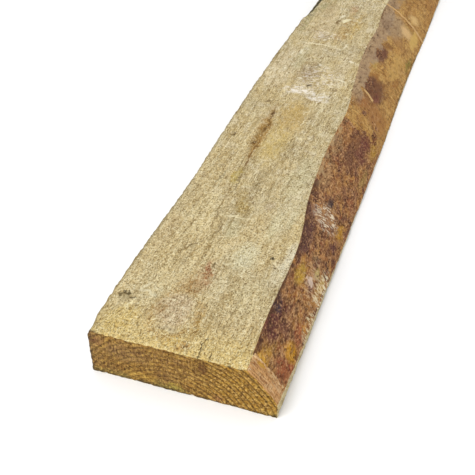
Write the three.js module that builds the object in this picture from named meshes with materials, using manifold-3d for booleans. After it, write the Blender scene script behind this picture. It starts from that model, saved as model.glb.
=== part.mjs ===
// A rough-sawn softwood plank with one waney edge, made the way a sawmill makes it: a log that
// tapers and wanders a little is cut flat by four saw lines and cross-cut square at both ends.
// Where the log's own round surface lies inside the saw lines, it stays on the plank as wane.
//
// Millimetres, +Z up. The plank lies on its sawn bottom face, its length along Y with the end
// that is seen first at -Y, its waney edge at +X, and the origin under its middle.

import * as THREE from 'three';
import { mergeVertices } from 'three/addons/utils/BufferGeometryUtils.js';
import Module from 'manifold-3d';

const wasm = await Module();
wasm.setup();

// ---- Driving dimensions ----------------------------------------------------------------

const LENGTH = 1800; // cross-cut stock length
const WIDTH = 177; // between the two edge saw lines, at the widest
const THICKNESS = 50; // between the two face saw lines

const LOG_RADIUS = 150; // the log's radius under its bark
const LOG_STEP = 25; // spacing of the log's sections
const LOG_SIDES = 160; // straight facets round the log
const LOG_OVERRUN = 20; // log left beyond each cross cut

const SAW_STEP = 30; // spacing of points along a wandering saw line
const TEAR_SIDES = 28; // facets round a torn hollow

// The wane, measured as a timber grader does: how much of the top face and how much of the
// edge it takes away, at distances along from the near end. The log surface runs smoothly
// between these places, and past the last of them it stays as it is there.
const WANE = [
  { along: 0, face: 27.5, edge: 33 },
  { along: 70, face: 31, edge: 40 },
  { along: 150, face: 30.5, edge: 43 },
  { along: 190, face: 33, edge: 44.5 },
  { along: 240, face: 41.5, edge: 46 },
  { along: 306, face: 47, edge: 47 },
  { along: 383, face: 48.3, edge: 47.5 },
  { along: 445, face: 46.8, edge: 48.5 },
  { along: 510, face: 53.5, edge: 51 },
  { along: 593, face: 61, edge: 53 },
  { along: 651, face: 61.8, edge: 53.5 },
  { along: 691, face: 59.2, edge: 53 },
  { along: 740, face: 63.5, edge: 51.5 },
  { along: 850, face: 61.5, edge: 48.5 },
  { along: 1050, face: 54, edge: 45 },
  { along: 1300, face: 45, edge: 39.5 },
  { along: 1550, face: 37.5, edge: 34.5 },
  { along: 1800, face: 33, edge: 31 },
];

// The square edge: how far the saw wandered in from its widest line.
const SQUARE_EDGE = [
  { along: 0, inset: 1.6 },
  { along: 45, inset: 0 },
  { along: 110, inset: 0.3 },
  { along: 160, inset: 1.3 },
  { along: 240, inset: 3 },
  { along: 340, inset: 1.5 },
  { along: 440, inset: 0.7 },
  { along: 560, inset: 1.6 },
  { along: 640, inset: 3.8 },
  { along: 720, inset: 5 },
  { along: 860, inset: 4.4 },
  { along: 1080, inset: 2.1 },
  { along: 1320, inset: 0.9 },
  { along: 1560, inset: 1.8 },
  { along: 1800, inset: 2.6 },
];

// Hollows torn out of the top arris of the square edge, each as a long shallow scoop.
const TEARS = [
  { along: 6, halfLength: 15, halfWidth: 2.6, halfDepth: 5 }, // chipped corner at the near end
  { along: 830, halfLength: 135, halfWidth: 12.5, halfDepth: 11 }, // torn grain beside a knot
];

const WOOD = new THREE.MeshStandardMaterial({ color: 0xc6b587, roughness: 0.92, metalness: 0 });

// ---- Places worked out from the sizes ---------------------------------------------------

const NEAR_END = -LENGTH / 2;
const FAR_END = LENGTH / 2;
const WANEY_EDGE = WIDTH / 2;
const SQUARE_LINE = -WIDTH / 2;

// ---- Helpers ----------------------------------------------------------------------------

// A smooth curve through one measure of a list of stations, as a function of the distance along.
function measured(stations, measure) {
  const curve = new THREE.CubicInterpolant(
    stations.map((station) => station.along),
    stations.map((station) => station[measure]),
    1
  );
  return (along) => curve.evaluate(along)[0];
}

// Evenly spaced distances from start to end, no further apart than the given step.
function distances(start, end, step) {
  const count = Math.ceil((end - start) / step);
  return Array.from({ length: count + 1 }, (_, i) => start + ((end - start) * i) / count);
}

function toManifold(geometry) {
  const bare = geometry.clone();
  bare.deleteAttribute('normal');
  bare.deleteAttribute('uv');
  const merged = mergeVertices(bare, 1e-5);
  return new wasm.Manifold(
    new wasm.Mesh({
      numProp: 3,
      vertProperties: Float32Array.from(merged.attributes.position.array),
      triVerts: Uint32Array.from(merged.index.array),
    })
  );
}

function toGeometry(manifold) {
  const mesh = manifold.getMesh();
  const geometry = new THREE.BufferGeometry();
  geometry.setAttribute('position', new THREE.BufferAttribute(mesh.vertProperties, 3));
  geometry.setIndex(new THREE.BufferAttribute(mesh.triVerts, 1));
  geometry.computeVertexNormals();
  return geometry;
}

// A closed skin over rings that all have the same number of points, with a fan on each end ring.
function loft(rings) {
  const sides = rings[0].length;
  const positions = rings.flat().flatMap((point) => [point.x, point.y, point.z]);
  const index = [];
  for (let r = 0; r < rings.length - 1; r++) {
    for (let s = 0; s < sides; s++) {
      const a = r * sides + s;
      const b = r * sides + ((s + 1) % sides);
      index.push(a, a + sides, b, b, a + sides, b + sides);
    }
  }
  const last = (rings.length - 1) * sides;
  for (let s = 1; s < sides - 1; s++) {
    index.push(0, s, s + 1);
    index.push(last, last + s + 1, last + s);
  }
  const geometry = new THREE.BufferGeometry();
  geometry.setAttribute('position', new THREE.Float32BufferAttribute(positions, 3));
  geometry.setIndex(index);
  return geometry;
}

// ---- The log ----------------------------------------------------------------------------

// The pith: the centre of the circle through the wane's upper and lower limits, inside the wood.
function pithAt(face, edge) {
  const upper = new THREE.Vector2(WANEY_EDGE - face, THICKNESS);
  const lower = new THREE.Vector2(WANEY_EDGE, THICKNESS - edge);
  const chord = lower.clone().sub(upper);
  const halfChord = chord.length() / 2;
  const depth = Math.sqrt(LOG_RADIUS ** 2 - halfChord ** 2);
  const inward = new THREE.Vector2(chord.y, -chord.x).normalize();
  return upper.add(lower).multiplyScalar(1 / 2).addScaledVector(inward, depth);
}

function makeLog() {
  const faceWane = measured(WANE, 'face');
  const edgeWane = measured(WANE, 'edge');
  const sections = distances(-LOG_OVERRUN, LENGTH + LOG_OVERRUN, LOG_STEP);
  const rings = sections.map((along) => {
    const pith = pithAt(faceWane(along), edgeWane(along));
    return Array.from({ length: LOG_SIDES }, (_, i) => {
      const turn = (2 * Math.PI * i) / LOG_SIDES;
      const x = pith.x + LOG_RADIUS * Math.cos(turn);
      const z = pith.y + LOG_RADIUS * Math.sin(turn);
      return new THREE.Vector3(x, NEAR_END + along, z);
    });
  });
  return toManifold(loft(rings));
}

// ---- The saw cuts -----------------------------------------------------------------------

// Where the square edge's saw line runs: nowhere outside its widest line.
const sawWander = measured(SQUARE_EDGE, 'inset');

function squareEdgeAt(along) {
  return new THREE.Vector2(SQUARE_LINE + Math.max(0, sawWander(along)), NEAR_END + along);
}

// All the wood between the saw lines: a plan outline, raised to the thickness.
function makeSawnBlock() {
  const squareEdge = distances(0, LENGTH, SAW_STEP).map(squareEdgeAt);
  const plan = new THREE.Shape([
    new THREE.Vector2(WANEY_EDGE, FAR_END),
    ...squareEdge.reverse(),
    new THREE.Vector2(WANEY_EDGE, NEAR_END),
  ]);
  return toManifold(new THREE.ExtrudeGeometry(plan, { depth: THICKNESS, bevelEnabled: false }));
}

// One torn hollow: a long round scoop, centred on the arris where the wood has gone.
function makeTear({ along, halfLength, halfWidth, halfDepth }) {
  const arris = squareEdgeAt(along);
  const scoop = new THREE.SphereGeometry(1, TEAR_SIDES, TEAR_SIDES / 2);
  scoop.scale(halfWidth, halfLength, halfDepth);
  scoop.translate(arris.x, arris.y, THICKNESS);
  return toManifold(scoop);
}

// ---- The plank --------------------------------------------------------------------------

function makePlank() {
  const sawn = makeLog().intersect(makeSawnBlock());
  const torn = TEARS.reduce((wood, tear) => wood.subtract(makeTear(tear)), sawn);
  const plank = new THREE.Mesh(toGeometry(torn), WOOD);
  plank.name = 'plank';
  return plank;
}

const timber = new THREE.Group();
timber.add(makePlank());

export default timber;
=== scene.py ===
"""A rough-sawn, pressure-treated softwood plank with one waney edge and its bark.

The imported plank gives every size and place. Its solid is replaced by one closed skin with the relief
of the saw and the weather. Bark, splinters and raised fibres are pieces of their own.

Sizes are in millimetres, and MM turns them into Blender's metres. A place on the plank is given as
along, from the near end, across, from the square edge's saw line, and up, from the floor.
"""

import logging
import math
import random
from dataclasses import dataclass
from enum import Enum
from itertools import starmap
from typing import Callable, Protocol

import bmesh
import bpy
from mathutils import Euler, Matrix, Vector, noise
from mathutils.bvhtree import BVHTree


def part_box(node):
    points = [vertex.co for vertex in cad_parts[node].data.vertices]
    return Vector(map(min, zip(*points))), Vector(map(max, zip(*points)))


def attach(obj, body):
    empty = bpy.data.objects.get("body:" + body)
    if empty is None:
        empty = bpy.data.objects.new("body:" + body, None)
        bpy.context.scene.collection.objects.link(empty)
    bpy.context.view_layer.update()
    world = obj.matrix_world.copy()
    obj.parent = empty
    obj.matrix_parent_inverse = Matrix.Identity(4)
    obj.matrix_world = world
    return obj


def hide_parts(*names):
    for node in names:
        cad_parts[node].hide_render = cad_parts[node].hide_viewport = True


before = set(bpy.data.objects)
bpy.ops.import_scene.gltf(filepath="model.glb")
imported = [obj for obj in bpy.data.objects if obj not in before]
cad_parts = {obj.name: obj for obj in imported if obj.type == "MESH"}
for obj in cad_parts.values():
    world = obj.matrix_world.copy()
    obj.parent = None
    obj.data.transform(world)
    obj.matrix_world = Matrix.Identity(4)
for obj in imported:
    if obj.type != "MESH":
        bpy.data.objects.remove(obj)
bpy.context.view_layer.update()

MM = 0.001

LOW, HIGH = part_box("plank")
NEAR_END = LOW.y / MM
LENGTH = (HIGH.y - LOW.y) / MM
TOP = HIGH.z / MM
SAW_LINE = -86.3  # the square edge's nominal saw line, from the middle of the width
NEAR_PART = 900.0  # the closer part of the plank, which is worked finer
KEPT_INSIDE = 0.01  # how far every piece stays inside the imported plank's box

Triple = tuple[float, float, float]
Mesh = bmesh.types.BMesh
Piece = bpy.types.Object
Tree = bpy.types.NodeTree
Source = bpy.types.NodeSocket | bpy.types.Node  # a node stands for its first output in use

log = logging.getLogger("plank")


def spot(along: float, across: float, up: float) -> Vector:
    """A place on the plank as a point of the row frame, in millimetres."""
    return Vector((SAW_LINE + across, NEAR_END + along, up))


def linear(colour: str) -> tuple[float, float, float, float]:
    """Turns an sRGB hex colour into linear red, green, blue and alpha."""
    parts = [int(colour[i:i + 2], 16) / 255 for i in (1, 3, 5)]
    return (*[p / 12.92 if p <= 0.04045 else ((p + 0.055) / 1.055) ** 2.4 for p in parts], 1.0)


def smooth(value: float, low: float, high: float) -> float:
    """Rises smoothly from 0 at low to 1 at high."""
    t = min(1.0, max(0.0, (value - low) / (high - low)))
    return t * t * (3 - 2 * t)


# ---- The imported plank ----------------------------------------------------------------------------


class Side(Enum):
    """A long edge of the plank, as the way that it faces across."""

    SQUARE = -1
    WANEY = 1


@dataclass(frozen=True)
class WaneProfile:
    """One section of the waney edge, from the sawn strip under it to the top arris.

    Args:
        strip: Height of the sawn strip.
        places: Across from the middle, and height, of points up the curve.
        arcs: Distance of each point up the curve.
    """

    strip: float
    places: tuple[tuple[float, float], ...]
    arcs: tuple[float, ...]

    def at(self, rise: float) -> tuple[float, float, float, float]:
        """A point of the curve.

        Args:
            rise: Its distance up the curve.

        Returns:
            Across, height, and the outward direction's two parts.
        """
        k = sum(1 for arc in self.arcs[1:-1] if arc <= rise)
        (xa, ha), (xb, hb) = self.places[k:k + 2]
        step = self.arcs[k + 1] - self.arcs[k]
        part = (rise - self.arcs[k]) / step
        return xa + part * (xb - xa), ha + part * (hb - ha), (hb - ha) / step, (xa - xb) / step


def search_tree(solid: Piece) -> BVHTree:
    """A search tree of an object's faces, in millimetres."""
    points = [v.co / MM for v in solid.data.vertices]
    return BVHTree.FromPolygons(points, [tuple(p.vertices) for p in solid.data.polygons])


@dataclass(frozen=True)
class PackedPlank:
    """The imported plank's surface, asked for points in millimetres.

    Args:
        tree: Search tree of its faces.
        low: Low corner of its box.
        high: High corner of its box.
        reach: How far outside the plank the probing rays start.
        inset: How far inside the plank's length the outermost rays run.
        margin: How far inside its thickness they run.
        slack: How far the sawn strip under the wane may lie inside the box.
        samples: Rays up one section of the waney edge.
    """

    tree: BVHTree
    low: Vector
    high: Vector
    reach: float = 50.0
    inset: float = 0.02
    margin: float = 0.05
    slack: float = 0.3
    samples: int = 44

    def edge_at(self, along: float, height: float, side: Side) -> float:
        """Where the plank ends across its width, from the middle.

        Args:
            along: Distance from the near end.
            height: Height above the floor.
            side: Which edge.

        Returns:
            The place across.
        """
        along = min(max(along, self.inset), LENGTH - self.inset)
        outer = self.high.x if side is Side.WANEY else self.low.x
        start = Vector((outer + side.value * self.reach, self.low.y + along, height))
        found = self.tree.ray_cast(start, Vector((-side.value, 0, 0)))[0]
        return found.x if found else outer

    def wane(self, along: float) -> WaneProfile:
        """The section of the waney edge at one place.

        Args:
            along: Distance from the near end.

        Returns:
            The section.
        """
        rays = range(self.samples + 1)
        heights = [self.margin + (TOP - 2 * self.margin) * i / self.samples for i in rays]
        found = [(self.edge_at(along, h, Side.WANEY), h) for h in heights]
        strip = max((h for x, h in found if x > self.high.x - self.slack), default=0.0)
        places = [p for p in found if p[1] >= strip]
        places[-1] = (places[-1][0], TOP)
        arcs = [0.0]
        for (xa, ha), (xb, hb) in zip(places, places[1:]):
            arcs.append(arcs[-1] + math.hypot(xb - xa, hb - ha))
        return WaneProfile(strip, tuple(places), tuple(arcs))


PACKED = PackedPlank(search_tree(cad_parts["plank"]), LOW / MM, HIGH / MM)


# ---- Shader building ---------------------------------------------------------------------------

TEXTURE = {"vector_type": "TEXTURE"}
SOFT_STEP = {"interpolation_type": "SMOOTHSTEP"}


def feed(tree: Tree, node: bpy.types.Node, inputs: dict) -> None:
    """Sets or links a node's inputs in use.

    Args:
        tree: Tree that holds the node.
        node: The node.
        inputs: A value or a source for each input, which goes by its name or its number.
    """
    in_use = [s for s in node.inputs if s.enabled]
    for key, value in inputs.items():
        socket = in_use[key] if isinstance(key, int) else next(s for s in in_use if s.name == key)
        if isinstance(value, bpy.types.Node):
            value = next(s for s in value.outputs if s.enabled)
        if isinstance(value, bpy.types.NodeSocket):
            tree.links.new(value, socket)
        else:
            socket.default_value = value


def add_node(tree: Tree, kind: str, settings: dict | None = None, inputs: dict | None = None) -> Source:
    """Adds one shader node.

    Args:
        tree: Tree that gets the node.
        kind: Its type, without the leading ShaderNode.
        settings: Its own settings by name.
        inputs: What feeds it.

    Returns:
        The node.
    """
    node = tree.nodes.new("ShaderNode" + kind)
    for name, value in (settings or {}).items():
        setattr(node, name, value)
    feed(tree, node, inputs or {})
    return node


class Mask(Protocol):
    """Anything that says how strongly a coat shows at a place, from 0 to 1."""

    def mask(self, tree: Tree, place: Source, torn: Source) -> Source:
        """Adds the nodes.

        Args:
            tree: Tree that gets them.
            place: The place on the plank in millimetres.
            torn: The same place, shifted a little at random, for ragged outlines.

        Returns:
            The strength.
        """


@dataclass(frozen=True)
class Mottle:
    """Patches, streaks or specks from smooth noise.

    Args:
        size: Patch size across, along and upward, in millimetres.
        low: Noise value where a patch starts to show.
        high: Noise value where it is full.
        detail: Octaves of finer noise on it.
        seed: Moves the pattern, so that no two are alike.
        turn: Turns the pattern, in degrees about each axis.
        grit: Share of the finer noise.
    """

    size: Triple
    low: float = 0.4
    high: float = 0.6
    detail: float = 2.0
    seed: float = 0.0
    turn: Triple = (0, 0, 0)
    grit: float = 0.55

    def mask(self, tree: Tree, place: Source, torn: Source) -> Source:
        """Adds the noise and cuts it to patches."""
        spread = add_node(tree, "Mapping", TEXTURE, {
            "Vector": place, "Scale": self.size, "Rotation": [math.radians(a) for a in self.turn]})
        cloud = add_node(tree, "TexNoise", {"noise_dimensions": "4D"}, {
            "Vector": spread, "W": self.seed, "Scale": 1.0, "Detail": self.detail, "Roughness": self.grit})
        return add_node(tree, "MapRange", SOFT_STEP, {
            "Value": cloud, "From Min": self.low, "From Max": self.high})


@dataclass(frozen=True)
class Stain:
    """One patch at a chosen place, with a ragged outline.

    Args:
        place: Its middle: along, across and up.
        size: Its half lengths along, across and up.
        turn: Degrees it is turned on the top face, so that its far end swings to the square edge.
        core: Share of its half length that is full strength.
        rim: Where it isn't 0, only the outline shows, this share of its half length wide.
    """

    place: Triple
    size: Triple
    turn: float = 0.0
    core: float = 0.35
    rim: float = 0.0

    def mask(self, tree: Tree, place: Source, torn: Source) -> Source:
        """Adds the patch."""
        along, across, up = self.size
        local = add_node(tree, "Mapping", TEXTURE, {
            "Vector": torn, "Location": spot(*self.place), "Rotation": (0, 0, math.radians(self.turn)),
            "Scale": (across, along, up)})
        away = add_node(tree, "VectorMath", {"operation": "LENGTH"}, {0: local})
        if self.rim:
            inside = add_node(tree, "Math", {"operation": "SUBTRACT"}, {0: away, 1: 1.0 - self.rim})
            away = add_node(tree, "Math", {"operation": "ABSOLUTE"}, {0: inside})
        return add_node(tree, "MapRange", SOFT_STEP, {
            "Value": away, "From Min": self.rim or 1.0, "From Max": 0.0 if self.rim else self.core})


class Axis(Enum):
    """A direction of the plank, as the axis of the row frame."""

    ACROSS = 0
    ALONG = 1
    UP = 2


@dataclass(frozen=True)
class Fade:
    """Rises or falls in one direction, between two places.

    Args:
        axis: The direction.
        none: Where it is nothing, measured as along, across or up.
        full: Where it is full.
    """

    axis: Axis
    none: float
    full: float

    def mask(self, tree: Tree, place: Source, torn: Source) -> Source:
        """Adds the fade."""
        start = (SAW_LINE, NEAR_END, 0.0)[self.axis.value]
        parts = add_node(tree, "SeparateXYZ", None, {"Vector": torn})
        return add_node(tree, "MapRange", SOFT_STEP, {
            "Value": parts.outputs[self.axis.value],
            "From Min": start + self.none, "From Max": start + self.full})


@dataclass(frozen=True)
class Rim:
    """The darker rim of the square edge, from the skin's own attribute of this name."""

    name: str = "rim"

    def mask(self, tree: Tree, place: Source, torn: Source) -> Source:
        """Reads the attribute."""
        return add_node(tree, "Attribute", {"attribute_name": self.name}).outputs["Fac"]


@dataclass(frozen=True)
class Rings:
    """Growth rings: the dark late wood of each year, around a pith that wanders along the log.

    Args:
        pith: Its place across and up at the near end; it lies under the plank.
        spacing: Thickness of a year's growth.
        late: Share of a year's growth where the late wood starts.
        full: Share where it is darkest.
        last: Share where it starts to end.
        wander: How far the rings stray from round, in millimetres.
        swell: Size of those strayings across, along and up.
        fray: How ragged they are, as a share of the ragged place's shift.
    """

    pith: tuple[float, float] = (77.0, -42.0)
    spacing: float = 5.2
    late: float = 0.45
    full: float = 0.85
    last: float = 0.88
    wander: float = 9.0
    swell: Triple = (70.0, 190.0, 70.0)
    fray: float = 0.12

    def mask(self, tree: Tree, place: Source, torn: Source) -> Source:
        """Adds the rings."""
        place = add_node(tree, "Mix", {"data_type": "VECTOR"}, {"Factor": self.fray, "A": place, "B": torn})
        wide = add_node(tree, "Mapping", TEXTURE, {"Vector": place, "Scale": self.swell})
        sway = add_node(tree, "TexNoise", None, {"Vector": wide, "Scale": 1.0, "Detail": 1.0})
        centred = add_node(tree, "VectorMath", {"operation": "SUBTRACT"}, {
            0: place, 1: (SAW_LINE + self.pith[0], 0, self.pith[1])})
        flat = add_node(tree, "VectorMath", {"operation": "MULTIPLY"}, {0: centred, 1: (1, 0, 1)})
        radius = add_node(tree, "VectorMath", {"operation": "LENGTH"}, {0: flat})
        strayed = add_node(tree, "Math", {"operation": "MULTIPLY_ADD"}, {
            0: sway, 1: self.wander * 2, 2: radius})
        years = add_node(tree, "Math", {"operation": "DIVIDE"}, {0: strayed, 1: self.spacing})
        year = add_node(tree, "Math", {"operation": "FRACT"}, {0: years})
        dark, edge = [
            add_node(tree, "MapRange", SOFT_STEP, {"Value": year, "From Min": none, "From Max": full})
            for none, full in ((self.late, self.full), (1.0, self.last))]
        return add_node(tree, "Math", {"operation": "MULTIPLY"}, {0: dark, 1: edge})


@dataclass(frozen=True)
class SawLines:
    """Fine ridges that a band saw leaves across the face, a few millimetres apart.

    Args:
        spacing: Distance between ridges.
        skew: Degrees that they lean from square.
        endless: Size of the pattern in the directions that it doesn't change in.
    """

    spacing: float = 5.5
    skew: float = 4.0
    endless: float = 1e4

    def mask(self, tree: Tree, place: Source, torn: Source) -> Source:
        """Adds the ridges; a wave of the wave node is 2 pi / 20 long."""
        turned = add_node(tree, "Mapping", TEXTURE, {
            "Vector": torn, "Rotation": (0, 0, math.radians(self.skew)),
            "Scale": (self.endless, self.spacing * 2 * math.pi / 20, self.endless)})
        return add_node(tree, "TexWave", {"bands_direction": "Y", "wave_profile": "SIN"}, {
            "Vector": turned, "Scale": 1.0, "Distortion": 2.0, "Detail": 2.0, "Detail Scale": 1.2})


class Blend(Enum):
    """How a coat meets the colour under it."""

    COVER = "MIX"
    DARKEN = "MULTIPLY"
    LIGHTEN = "SCREEN"


@dataclass(frozen=True)
class Coat:
    """A colour laid on what is there, where all of its masks show it.

    Args:
        colour: The colour.
        strength: How much it hides of what is under it.
        masks: Where it shows.
        blend: How it meets what is under it.
    """

    colour: str
    strength: float
    masks: tuple[Mask, ...]
    blend: Blend = Blend.COVER


@dataclass(frozen=True)
class Relief:
    """A rise in the surface, where all of its masks show it.

    Args:
        height: Its height in millimetres.
        masks: Where it rises.
    """

    height: float
    masks: tuple[Mask, ...]


@dataclass(frozen=True)
class Finish:
    """A wood surface: a base colour with coats over it, fine relief and roughness.

    Args:
        name: What the surface is.
        base: The colour under everything.
        coats: Laid over it in order.
        reliefs: Added up for the bump.
        roughness: How dull it is.
        specular: How much plain shine it has.
        tear: How ragged the outlines of its stains are, in millimetres.
        tears: Lump size and share of the shift, for coarse and fine raggedness.
        grain: How much longer the lumps are along the plank.
    """

    name: str
    base: str
    coats: tuple[Coat, ...]
    reliefs: tuple[Relief, ...] = ()
    roughness: float = 0.9
    specular: float = 0.2
    tear: float = 9.0
    tears: tuple[tuple[float, float], ...] = ((11.0, 1.0), (2.6, 0.45))
    grain: float = 1.4

    def torn_place(self, tree: Tree, place: Source) -> Source:
        """Shifts the place by coarse and fine noise.

        Args:
            tree: Tree that gets the nodes.
            place: The place on the plank in millimetres.

        Returns:
            The shifted place.
        """
        torn = place
        for size, share in self.tears:
            wide = add_node(tree, "Mapping", TEXTURE, {
                "Vector": place, "Scale": (size, size * self.grain, size)})
            cloud = add_node(tree, "TexNoise", None, {"Vector": wide, "Scale": 1.0, "Detail": 1.0})
            shift = add_node(tree, "VectorMath", {"operation": "SUBTRACT"}, {
                0: cloud.outputs["Color"], 1: (0.5, 0.5, 0.5)})
            torn = add_node(tree, "VectorMath", {"operation": "MULTIPLY_ADD"}, {
                0: shift, 1: (self.tear * share * 2,) * 3, 2: torn})
        return torn

    def material(self) -> bpy.types.Material:
        """Builds the material, once for all the pieces that wear it."""
        if self.name in bpy.data.materials:
            return bpy.data.materials[self.name]
        mat = bpy.data.materials.new(self.name)
        mat.use_nodes = True
        tree = mat.node_tree
        object_place = add_node(tree, "TexCoord").outputs["Object"]
        place = add_node(tree, "VectorMath", {"operation": "SCALE"}, {0: object_place, 1: 1 / MM})
        torn = self.torn_place(tree, place)

        def shown(product: float | Source, masks: tuple[Mask, ...]) -> float | Source:
            """The product of an amount and some masks."""
            for mask in masks:
                product = add_node(tree, "Math", {"operation": "MULTIPLY"}, {
                    0: mask.mask(tree, place, torn), 1: product})
            return product

        colour = linear(self.base)
        for coat in self.coats:
            colour = add_node(tree, "Mix", {"data_type": "RGBA", "blend_type": coat.blend.value}, {
                "Factor": shown(coat.strength, coat.masks), "A": colour, "B": linear(coat.colour)})
        made = {"Base Color": colour, "Roughness": self.roughness, "Specular IOR Level": self.specular}
        if self.reliefs:
            height, *more = [shown(relief.height, relief.masks) for relief in self.reliefs]
            for raised in more:
                height = add_node(tree, "Math", {"operation": "ADD"}, {0: height, 1: raised})
            made["Normal"] = add_node(tree, "Bump", None, {"Strength": 1.0, "Distance": MM, "Height": height})
        feed(tree, tree.nodes["Principled BSDF"], made)
        return mat


# ---- Finishes ----------------------------------------------------------------------------------

# Fuzz: the torn fibre ends that rough sawing leaves, drawn a little coarser than they are so that
# they show. Flecks and tufts are pale lifted fibres; pits are the gaps between them, darkened as painted
# shade, as are the gaps between tufts and the hollows.
FLECKS = Mottle((1.2, 3.0, 1.2), 0.46, 0.74, 3, 1.7)
TUFTS = Mottle((3.0, 1.2, 1.4), 0.56, 0.7, 2, 5.1, (0, 0, 8))
TUFT_GAPS = Mottle((3.2, 1.3, 1.6), 0.54, 0.68, 2, 65.1, (0, 0, -6))
LONG_TUFTS = Mottle((5.5, 1.7, 2.0), 0.55, 0.67, 3, 68.7, (0, 0, 4))
BIG_FLECKS = Mottle((3.6, 9.0, 3.6), 0.48, 0.7, 3, 6.6)
PITS = Mottle((1.05, 2.4, 1.05), 0.46, 0.72, 3, 9.3)
HOLLOWS = Mottle((3.6, 9.5, 3.6), 0.48, 0.7, 3, 12.9)
FAR_CURLS = Mottle((2.0, 8.0, 2.0), 0.52, 0.68, 3, 18.3, (0, 0, 5))
FAR_GAPS = Mottle((1.7, 10.0, 1.7), 0.52, 0.7, 3, 19.9, (0, 0, -4))
ROUGH_STRETCHES = Mottle((14.0, 24.0, 14.0), 0.42, 0.54, 3, 40.2)
# Grain, scuffs and weathering, from a millimetre wide to a hand's breadth.
GRAIN_LINES = Mottle((1.2, 44.0, 1.2), 0.52, 0.68, 2, 3.3)
WORN_LINES = Mottle((2.1, 70.0, 2.1), 0.54, 0.64, 2, 31.1)
BROAD_GRAIN = Mottle((5.0, 110.0, 5.0), 0.42, 0.62, 3, 7.7)
PALE_GRAIN = Mottle((3.2, 80.0, 3.2), 0.5, 0.66, 3, 10.7)
PALE_SCUFFS = Mottle((9.0, 11.0, 9.0), 0.52, 0.6, 4, 22.3)
DULL_SCUFFS = Mottle((8.0, 13.0, 8.0), 0.52, 0.62, 4, 25.1)
BLOTCHES = Mottle((17.0, 34.0, 17.0), 0.44, 0.64, 3, 2.2)
CLOUDS = Mottle((50.0, 90.0, 50.0), 0.42, 0.6, 2, 6.4)
# Dried treatment salts, in crusts and short curls.
CURDS = Mottle((6.5, 4.5, 3.0), 0.47, 0.56, 3, 52.2, (0, 0, 30))
SMALL_CURDS = Mottle((3.0, 3.6, 3.0), 0.54, 0.62, 3, 84.2, (0, 0, 30))
CHALK = Mottle((5.0, 1.5, 1.7), 0.52, 0.6, 2, 15.7, (0, 0, -6))


def on_top(colour: str, strength: float, along: float, across: float, half_along: float,
           half_across: float, turn: float = 0.0, core: float = 0.3, broken: Mask | None = None,
           rim: float = 0.0) -> Coat:
    """A patch on the top face.

    Args:
        colour: Its colour.
        strength: How much of what is under it it hides.
        along: Its middle, from the near end.
        across: Its middle, from the square edge.
        half_along: Half its length.
        half_across: Half its width.
        turn: Degrees it leans.
        core: Share of it that is full strength.
        broken: A mask that breaks it up further.
        rim: Width of its outline where only that shows.

    Returns:
        The coat.
    """
    shape = Stain((along, across, TOP), (half_along, half_across, 9.0), turn, core, rim)
    return Coat(colour, strength, (shape, broken) if broken else (shape,))


def on_wane(colour: str, strength: float, along: float, rise: float, half_along: float, half_rise: float,
            core: float = 0.3, broken: Mask | None = None) -> Coat:
    """A patch on the waney edge, given as one on the top, but for its rise up the wane's curve."""
    across, height, *_ = PACKED.wane(along).at(rise)
    shape = Stain((along, across - SAW_LINE, height), (half_along, half_rise, half_rise), 0, core)
    return Coat(colour, strength, (shape, broken) if broken else (shape,))


def on_end(colour: str, strength: float, across: float, up: float, half_across: float, half_up: float,
           core: float = 0.35) -> Coat:
    """A patch on the near end, given as one on the top, but for its height above the floor."""
    return Coat(colour, strength, (Stain((0, across, up), (6, half_across, half_up), 0, core),))


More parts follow.
